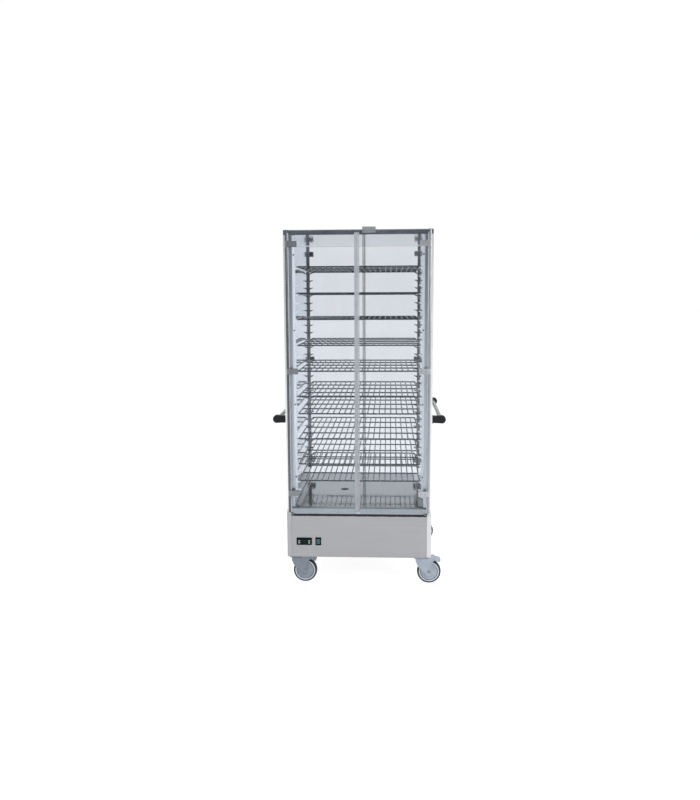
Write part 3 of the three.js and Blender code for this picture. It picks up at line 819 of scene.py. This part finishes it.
def make_hinge(end, hand):
    """Full-height rod with three clamps, each of two plates, a barrel round the rod and two screws."""
    body = f"{end}_{hand}_door"
    node = f"hinge_rod_{end}_{hand}"
    rod_low, rod_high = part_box(node)
    leaf_low, leaf_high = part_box(f"door_{end}_{hand}")
    side, out = OUTWARD[hand], OUTWARD[end]
    radius = 5.5 * MM
    heel = rod_high.x if side > 0 else rod_low.x
    axis_x = heel - side * radius
    axis_y = (rod_low.y + rod_high.y) / 2
    work = bmesh.new()
    add_rod(work, rod_high.z - rod_low.z, radius, 1 * MM, Vector((axis_x, axis_y, rod_low.z)), Z, 40)
    rod = new_piece(f"rod_{end}_{hand}", work, f"rod_{hand}", body)
    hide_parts(node)
    reach = axis_x - side * 50.5 * MM
    front = axis_y + out * 5.5 * MM
    back = axis_y - out * 5.5 * MM
    leaf_out = leaf_low.y if out < 0 else leaf_high.y
    leaf_in = leaf_high.y if out < 0 else leaf_low.y
    plates = bmesh.new()
    screws = bmesh.new()
    for height in clamp_heights():
        bottom, top = height - 14 * MM, height + 14 * MM
        outer = rounded(axis_x + side * 2 * MM, reach, bottom, top, 2.5 * MM, 4)
        inner = rounded(axis_x - side * 8 * MM, reach, bottom, top, 2.5 * MM, 4)
        add_prism(plates, outer, *sorted((front, leaf_out + out * 0.3 * MM)), "Y")
        add_prism(plates, inner, *sorted((back, leaf_in - out * 0.3 * MM)), "Y")
        add_lathe(plates, [(0, 0), (0, radius + 0.2 * MM), (28 * MM, radius + 0.2 * MM), (28 * MM, 0)],
                  Vector((axis_x, axis_y, bottom)), Z, 32)
        for share in (0.34, 0.76):
            seat = Vector((axis_x + (reach - axis_x) * share, front - out * 0.1 * MM, height))
            add_screw(screws, seat, out * Y, 3.2 * MM, 0.9 * MM)
    new_piece(f"clamps_{end}_{hand}", plates, f"clamp_{hand}", body, bevel=0.5 * MM)
    new_piece(f"clamp_screws_{end}_{hand}", screws, "bolt", body)
    bushes = bmesh.new()
    rim = radius + 0.9 * MM
    bush = [(0.2 * MM, radius - 1.5 * MM), (0.2 * MM, rim), (5 * MM, rim), (6 * MM, radius + 0.3 * MM)]
    add_lathe(bushes, bush, Vector((axis_x, axis_y, rod_low.z)), Z, 28)
    new_piece(f"pivot_bush_{end}_{hand}", bushes, "white", body)


def clamp_heights():
    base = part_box("chassis_tray")[0].z
    return [base + rise * MM for rise in (328, 935, 1546)]


def make_latch_tab():
    """Folded tab on the front right leaf: a plate with a turned-back head and a rolled foot."""
    low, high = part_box("latch_tab")
    fold = 2.4 * MM
    work = bmesh.new()
    outline = [
        (high.y, low.z + 2 * MM), (high.y, high.z), (high.y - 0.6 * MM, high.z),
        (low.y + 0.4 * MM, high.z - fold * 0.2), (low.y, high.z - fold),
        (low.y + 1.2 * MM, high.z - fold * 2.2), (low.y + 1.2 * MM, low.z + fold * 1.6),
        (low.y, low.z + fold * 0.8), (low.y + 0.4 * MM, low.z),
        (high.y - 0.5 * MM, low.z),
    ]
    add_prism(work, outline, low.x, high.x, "X")
    tab = new_piece("tab_plate", work, "tab", "front_right_door", bevel=0.4 * MM)
    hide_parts("latch_tab")
    work = bmesh.new()
    for share in (0.2, 0.8):
        seat = Vector((low.x + (high.x - low.x) * share, low.y + 1.2 * MM, low.z + 9 * MM))
        add_screw(work, seat, -Y, 2.6 * MM, 1.0 * MM)
    new_piece("tab_screws", work, "bolt", "front_right_door")


# ---- casters ----


def make_casters():
    for end in ENDS:
        for hand in HANDS:
            make_caster_plate(end, hand)
            make_fork(end, hand)
            make_wheel(end, hand)
    for hand in HANDS:
        make_pedal(hand)


def make_caster_plate(end, hand):
    node = f"caster_plate_{end}_{hand}"
    low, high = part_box(node)
    centre = (low + high) / 2
    work = bmesh.new()
    add_prism(work, rounded(low.x, high.x, low.y, high.y, 8 * MM, 6), low.z, high.z, "Z")
    finish_name = f"zinc_{hand}"
    plate = new_piece(f"plate_{end}_{hand}", work, finish_name, "cabinet", bevel=0.6 * MM)
    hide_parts(node)
    work = bmesh.new()
    for sx in (-1, 1):
        for sy in (-1, 1):
            seat = Vector((centre.x + sx * 33 * MM, centre.y + sy * 33 * MM, low.z + 0.05 * MM))
            add_lathe(work, [(0, 0), (0, 7.5 * MM), (1.2 * MM, 7.5 * MM), (1.2 * MM, 0)], seat, -Z, 20)
            add_hexagon(work, seat - Z * 1.2 * MM, -Z, 12 * MM, 5.5 * MM)
    new_piece(f"plate_bolts_{end}_{hand}", work, "bolt", "cabinet", bevel=0.3 * MM)


def make_fork(end, hand):
    """Swivel fork: ball race, two pressed cheeks that narrow to the axle, and the axle's nuts."""
    node = f"caster_fork_{end}_{hand}"
    body = f"{end}_{hand}_swivel"
    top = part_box(node)[1].z
    wheel = middle(f"wheel_{end}_{hand}")
    pivot = middle(f"caster_plate_{end}_{hand}")
    work = bmesh.new()
    race = [(0, 0), (0, 30), (1.5, 34), (5.5, 34), (6.5, 31.5), (8.0, 31.5), (9.0, 34), (13.7, 33),
            (13.7, 0)]
    add_lathe(work, mm(race), Vector((pivot.x, pivot.y, top)), -Z, 48)
    new_piece(f"race_{end}_{hand}", work, f"zinc_{hand}", body)
    px, wx, wz = pivot.x / MM, wheel.x / MM, wheel.z / MM
    outline = [
        (px - 31, top / MM - 2), (px - 30.5, 122), (px - 28.5, 112), (px - 23, 98), (px - 14, 82),
        *arc(wx - 4, wz - 6, 16, 215, 340, 12),
        (wx + 12, 70), (wx + 9, 84), (wx + 12, 98), (px + 57, 113), (px + 64, 118), (px + 68, 123),
        (px + 68, top / MM - 4), (px + 66, top / MM - 2),
    ]
    work = bmesh.new()
    for side in (-1, 1):
        face = pivot.y + side * 20 * MM
        add_prism(work, mm(outline), face - 1.5 * MM, face + 1.5 * MM, "Y")
    under, over = top / MM - 14, top / MM - 10.5
    bridge = [(px - 30, under), (px + 66, under), (px + 66, over), (px - 30, over)]
    add_prism(work, mm(bridge), pivot.y - 20 * MM, pivot.y + 20 * MM, "Y")
    name, finish_name = f"fork_{end}_{hand}", f"zinc_{hand}"
    fork = new_piece(name, work, finish_name, body, bevel=0.7 * MM, segments=3)
    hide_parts(node)
    work = bmesh.new()
    for side in (-1, 1):
        seat = Vector((wheel.x, pivot.y + side * 21.4 * MM, wheel.z))
        add_lathe(work, [(0, 0), (0, 9.0 * MM), (1.0 * MM, 9.0 * MM), (1.0 * MM, 0)], seat, side * Y, 24)
        add_hexagon(work, seat + side * 1.0 * MM * Y, side * Y, 13 * MM, 3.6 * MM)
    add_lathe(work, [(-26.2 * MM, 0), (-26.2 * MM, 4 * MM), (26.2 * MM, 4 * MM), (26.2 * MM, 0)],
              Vector((wheel.x, pivot.y, wheel.z)), Y, 20)
    new_piece(f"axle_{end}_{hand}", work, "bolt", body, bevel=0.3 * MM)


def mirrored(half):
    """A whole lathe profile from one half of it, given from its end to its middle."""
    return [(-a, b) for a, b in half] + half[::-1]


def make_wheel(end, hand):
    """Rubber tyre on a light rim, with a grey disc that carries ribs and a hub."""
    node = f"wheel_{end}_{hand}"
    body = f"{end}_{hand}_wheel"
    low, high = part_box(node)
    centre = (low + high) / 2
    radius = (high.z - low.z) / 2
    tread = mirrored([(13, 50.5), (14.8, 51.5), (15, 54), (13.8, 57.4), (10, 59.4), (5, 60)])
    rim = mirrored([(12.4, 44.5), (13.8, 45.2), (14.4, 46.3), (14.4, 50.4), (12.6, 52)])
    groove = mirrored([(12.6, 42.4), (12.6, 45.2)])
    cover = mirrored([(16.6, 5.3), (16.6, 12), (15.4, 13.5), (13.6, 15), (13.0, 20), (13.4, 36), (14.0, 39),
                      (13.8, 41.2), (12.4, 42.6)])
    scale = radius / 60
    for name, profile, finish_name, crease in (
        ("tyre", tread, "tyre", 60), ("rim", rim, "rim", 50), ("rim_groove", groove, "groove", 50),
        ("disc", cover, f"hub_{hand}", 40),
    ):
        work = bmesh.new()
        add_lathe(work, [(a * scale, b * scale) for a, b in profile], centre, Y, 72)
        piece = new_piece(f"{name}_{end}_{hand}", work, finish_name, body, crease=crease)
        if name == "tyre":
            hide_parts(node)


def make_pedal(hand):
    """Brake pedal: a hood over the tyre with a sloping tread, a blunt toe and three grip ridges."""
    node = f"brake_pedal_{hand}"
    low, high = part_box(node)
    heel, foot, roof = low.x / MM, low.z / MM, high.z / MM
    outline = [
        (heel, foot + 15), (heel + 15, foot + 13), (heel + 27, foot + 8), (heel + 38, foot + 1),
        (heel + 43, foot), (heel + 47, foot + 1.5), (heel + 50, foot + 5), (heel + 51.5, foot + 12),
        (heel + 51, foot + 17), (heel + 48, foot + 19.5), (heel + 34, foot + 24), (heel + 18, roof - 1.2),
        (heel + 8, roof), (heel + 2, roof - 0.5), (heel, roof - 3),
    ]
    work = bmesh.new()
    add_prism(work, mm(outline), low.y, high.y, "Y")
    finish_name, body = f"zinc_{hand}", f"{hand}_brake"
    pedal = new_piece(f"pedal_{hand}", work, finish_name, body, bevel=1.4 * MM, segments=3)
    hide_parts(node)
    work = bmesh.new()
    for share in (0.25, 0.5, 0.75):
        x = heel + 18 + (48 - 18) * share
        z = roof - 1.2 + (foot + 19.5 - roof + 1.2) * share
        add_tube(work, [(x * MM, low.y + 4 * MM, z * MM), (x * MM, high.y - 4 * MM, z * MM)], 1.1 * MM, 8)
    new_piece(f"pedal_grip_{hand}", work, finish_name, body)


# ---- handles ----


def make_handles():
    for hand in HANDS:
        side = OUTWARD[hand]
        low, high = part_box(f"handle_tube_{hand}")
        centre = (low + high) / 2
        radius = (high.z - low.z) / 2
        work = bmesh.new()
        foot = Vector((centre.x, low.y, centre.z))
        add_rod(work, high.y - low.y, radius, 0.6 * MM, foot, Y, 48)
        tube = new_piece(f"tube_{hand}", work, "tube", "cabinet")
        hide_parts(f"handle_tube_{hand}")
        for end in ENDS:
            make_bracket(end, hand, side, centre)


def make_bracket(end, hand, side, centre):
    """Moulded bracket: a round-ended arm with a foot flange, a capped tube socket and a lock screw."""
    node = f"handle_bracket_{end}_{hand}"
    low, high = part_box(node)
    out = OUTWARD[end]
    near, far = sorted((low.x, high.x), key=abs)
    radius = (high.z - low.z) / 2
    bend = far - side * radius
    turn = arc(bend, centre.z, radius, -90 if side > 0 else 270, 90, 18)
    flange, waist, neck = near + side * 4 * MM, near + side * 9 * MM, bend - side * 6 * MM
    outline = [(near, low.z), (flange, low.z), (waist, low.z + 2.5 * MM), (neck, low.z + 1 * MM), *turn,
               (neck, high.z - 1 * MM), (waist, high.z - 2.5 * MM), (flange, high.z), (near, high.z)]
    work = bmesh.new()
    add_prism(work, outline, low.y, high.y, "Y")
    name = f"bracket_{end}_{hand}"
    bracket = new_piece(name, work, "black", "cabinet", bevel=2.4 * MM, segments=4)
    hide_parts(node)
    work = bmesh.new()
    inner_face, outer_face = (high.y, low.y) if out < 0 else (low.y, high.y)
    cap = [(-1, 0), (-1, 12.2), (0.6, 12.2), (1.5, 11.2), (1.5, 9.6), (0.7, 9.0), (0.7, 0)]
    collar = [(-0.4, 11), (-0.4, 13.5), (2.0, 13.5), (2.6, 12.6), (2.6, 10.6)]
    add_lathe(work, mm(cap), Vector((centre.x, outer_face, centre.z)), out * Y, 36)
    add_lathe(work, mm(collar), Vector((centre.x, inner_face, centre.z)), -out * Y, 36)
    new_piece(f"bracket_cap_{end}_{hand}", work, "black", "cabinet", crease=30)
    work = bmesh.new()
    for seat_z, outward in ((high.z - 1.6 * MM, Z), (low.z + 1.6 * MM, -Z)):
        seat = Vector((near + side * 20 * MM, (low.y + high.y) / 2, seat_z))
        add_screw(work, seat, outward, 3.6 * MM, 1.4 * MM)
    new_piece(f"bracket_screws_{end}_{hand}", work, "bolt", "cabinet")


# ---- controls ----


def make_controls():
    make_controller()
    make_switch()
    for key in ("up", "down", "set", "light"):
        dress(f"key_{key}", "key", 0.5 * MM, 3)
    dress("switch_rocker", "lens", 0.6 * MM, 3)
    dress("power_inlet", "black", 0.5 * MM)
    low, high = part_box("power_inlet")
    work = bmesh.new()
    for side in (-1, 1):
        seat = Vector(((low.x + high.x) / 2 + side * 19.5 * MM, high.y - 0.1 * MM, (low.z + high.z) / 2))
        add_screw(work, seat, Y, 2.6 * MM, 1.4 * MM)
    new_piece("inlet_screws", work, "bolt", "cabinet")


def inset_outline(low, high, inset, corner, steps):
    """Front view of a box as a rounded outline, drawn in by inset on every side."""
    return rounded(low.x + inset, high.x - inset, low.z + inset, high.z - inset, corner, steps)


def make_controller():
    """Panel controller: rounded bezel with wells for the keys, and a dark window with blank digits."""
    low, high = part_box("controller")
    face = low.y
    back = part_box("base_front_panel")[0].y - 0.2 * MM
    centre = Vector(((low.x + high.x) / 2, face, (low.z + high.z) / 2))
    work = bmesh.new()
    rings = []
    layers = ((0, 3, back), (0, 3, face + 0.8 * MM), (0.8, 2.4, face), (3.2, 1.5, face + 0.7 * MM))
    for inset, corner, depth in layers:
        outline = inset_outline(low, high, inset * MM, corner * MM, 6)
        rings.append([work.verts.new((x, depth, z)) for x, z in outline])
    join_rings(work, rings)
    work.faces.new(rings[0])
    work.faces.new(rings[-1])
    bezel = new_piece("controller_bezel", work, "bezel", "cabinet", crease=28)
    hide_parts("controller")
    work = bmesh.new()
    reach = Vector((19.5, 0, 12)) * MM
    glass = inset_outline(centre - reach, centre + reach, 0, 1.5 * MM, 5)
    add_prism(work, glass, face + 0.1 * MM, face + 0.9 * MM, "Y")
    new_piece("controller_window", work, "display", "cabinet", bevel=0.3 * MM)
    work = bmesh.new()
    for key in ("up", "down", "set", "light"):
        collar = inset_outline(*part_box(f"key_{key}"), -1.2 * MM, 1.4 * MM, 4)
        add_prism(work, collar, face + 0.25 * MM, face + 0.9 * MM, "Y")
    new_piece("key_collars", work, "bezel", "cabinet", bevel=0.2 * MM)


def make_switch():
    """Switch frame: a moulded rim with sloping shoulders round the rocker's well."""
    low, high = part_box("switch_frame")
    face = low.y
    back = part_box("base_front_panel")[0].y - 0.2 * MM
    wall = 4.5 * MM
    work = bmesh.new()
    layers = (
        (0.0, 2.4 * MM, back), (0.0, 2.4 * MM, face + 1.2 * MM), (0.9 * MM, 1.8 * MM, face),
        (wall - 1.2 * MM, 1.0 * MM, face + 0.2 * MM), (wall, 0.6 * MM, face + 1.2 * MM),
        (wall, 0.6 * MM, back + 10 * MM),
    )
    rings = []
    for inset, radius, depth in layers:
        outline = inset_outline(low, high, inset, radius, 5)
        rings.append([work.verts.new((x, depth, z)) for x, z in outline])
    join_rings(work, rings)
    work.faces.new(rings[-1])
    frame_piece = new_piece("switch_bezel", work, "bezel", "cabinet", crease=28)
    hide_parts("switch_frame")


# ---- camera and studio ----


def make_camera():
    """Camera in front, a little to the right of the middle, above mid-height and tipped down."""
    place = Vector((0.151, -4.217, 1.418))
    yaw, pitch, roll = math.radians(2.9), math.radians(7.16), math.radians(-0.254)
    forward = Vector((-math.sin(yaw) * math.cos(pitch), math.cos(yaw) * math.cos(pitch), -math.sin(pitch)))
    level = Vector((math.cos(yaw), math.sin(yaw), 0))
    upward = level.cross(forward)
    right = level * math.cos(roll) + upward * math.sin(roll)
    up = right.cross(forward)
    turn = Matrix((right, up, -forward)).transposed().to_4x4()
    data = bpy.data.cameras.new("camera")
    data.sensor_width = 36.0
    data.lens = 35.33
    data.clip_start = 0.05
    data.clip_end = 200
    camera = bpy.data.objects.new("camera", data)
    camera.matrix_world = Matrix.Translation(place) @ turn
    bpy.context.collection.objects.link(camera)
    bpy.context.scene.camera = camera


def make_floor():
    """White sweep that glows softly, and more so away from the object, so that it meets the backdrop; camera
    rays also see painted light near the object that fills in its shadow.
    """
    sweep = Shader("floor", Roughness=0.7)
    sweep.set("Specular IOR Level", 0.2)
    mottle = sweep.noise(0.7, detail=3)
    sweep.to("Base Color", sweep.blend(mottle, (0.44, 0.44, 0.445), (0.47, 0.47, 0.47)))
    span = sweep.node("ShaderNodeVectorMath", operation="LENGTH")
    sweep.link(sweep.place(), span.inputs[0])
    sweep.set("Emission Color", (1.0, 1.0, 1.0, 1.0))
    glow = sweep.range(span.outputs["Value"], 0.9, 3.2, 0.56, 0.65)
    # Painted light: camera rays alone see extra glow near the object, which fills in its shadow on the floor.
    seen = sweep.node("ShaderNodeLightPath").outputs["Is Camera Ray"]
    painted_light_fill = sweep.range(span.outputs["Value"], 0.7, 1.8, 0.26, 0.0)
    sweep.to("Emission Strength", sweep.math("ADD", glow, sweep.math("MULTIPLY", seen, painted_light_fill)))
    work = bmesh.new()
    add_lathe(work, [(0, 60.0), (0.0001, 0)], Vector((0, 0, 0)), Z, 96)
    for face in [face for face in work.faces if len(face.verts) > 4]:
        work.faces.remove(face)
    mesh = bpy.data.meshes.new("floor")
    work.to_mesh(mesh)
    work.free()
    mesh.materials.append(sweep.material)
    floor = bpy.data.objects.new("floor", mesh)
    floor.location.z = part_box("wheel_front_left")[0].z - 0.0002
    bpy.context.collection.objects.link(floor)


def add_softbox(name, place, target, size, power, colour=(1.0, 1.0, 1.0)):
    data = bpy.data.lights.new(name, "AREA")
    data.shape = "RECTANGLE"
    data.size, data.size_y = size
    data.energy = power
    data.color = colour
    light = bpy.data.objects.new(name, data)
    light.location = place
    light.rotation_mode = "QUATERNION"
    light.rotation_quaternion = (Vector(target) - Vector(place)).to_track_quat("-Z", "Y")
    bpy.context.collection.objects.link(light)


def make_world():
    """Bright studio behind and above the object, and a dim room on the camera's side."""
    world = bpy.data.worlds.new("studio")
    world.use_nodes = True
    bpy.context.scene.world = world
    tree = world.node_tree
    background = tree.nodes["Background"]
    output = tree.nodes["World Output"]
    seen = tree.nodes.new("ShaderNodeBackground")
    seen.inputs["Color"].default_value = (1.0, 1.0, 1.0, 1.0)
    seen.inputs["Strength"].default_value = 1.02
    path = tree.nodes.new("ShaderNodeLightPath")
    mix = tree.nodes.new("ShaderNodeMixShader")
    tree.links.new(path.outputs["Is Camera Ray"], mix.inputs["Fac"])
    tree.links.new(background.outputs["Background"], mix.inputs[1])
    tree.links.new(seen.outputs["Background"], mix.inputs[2])
    tree.links.new(mix.outputs["Shader"], output.inputs["Surface"])
    coordinates = tree.nodes.new("ShaderNodeTexCoord")
    split = tree.nodes.new("ShaderNodeSeparateXYZ")
    tree.links.new(coordinates.outputs["Generated"], split.inputs["Vector"])
    total = tree.nodes.new("ShaderNodeMath")
    total.operation = "MAXIMUM"
    gradients = (("Y", "SMOOTHSTEP", (-0.85, 0.1, 0.16, 0.95)), ("Z", "LINEAR", (0.35, 0.9, 0.0, 0.7)))
    for slot, (axis, easing, limits) in enumerate(gradients):
        gradient = tree.nodes.new("ShaderNodeMapRange")
        gradient.interpolation_type = easing
        set_sockets(gradient, RANGE_SOCKETS, limits)
        tree.links.new(split.outputs[axis], gradient.inputs["Value"])
        tree.links.new(gradient.outputs["Result"], total.inputs[slot])
    tree.links.new(total.outputs["Value"], background.inputs["Strength"])
    background.inputs["Color"].default_value = (0.95, 0.97, 1.0, 1.0)


def make_studio():
    make_floor()
    make_world()
    add_softbox("overhead", (0, 0.2, 4.2), (0, 0, 0), (4.5, 4.5), 120)
    add_softbox("front_left", (-3.2, -3.4, 2.6), (0, -0.4, 0.8), (1.6, 2.2), 24)
    add_softbox("front_right", (3.2, -3.2, 2.4), (0, -0.4, 0.8), (1.6, 2.4), 85)
    scene = bpy.context.scene
    scene.view_settings.view_transform = "Standard"


make_camera()
make_studio()
make_casing()
make_shelves()
make_doors()
make_casters()
make_handles()
make_controls()
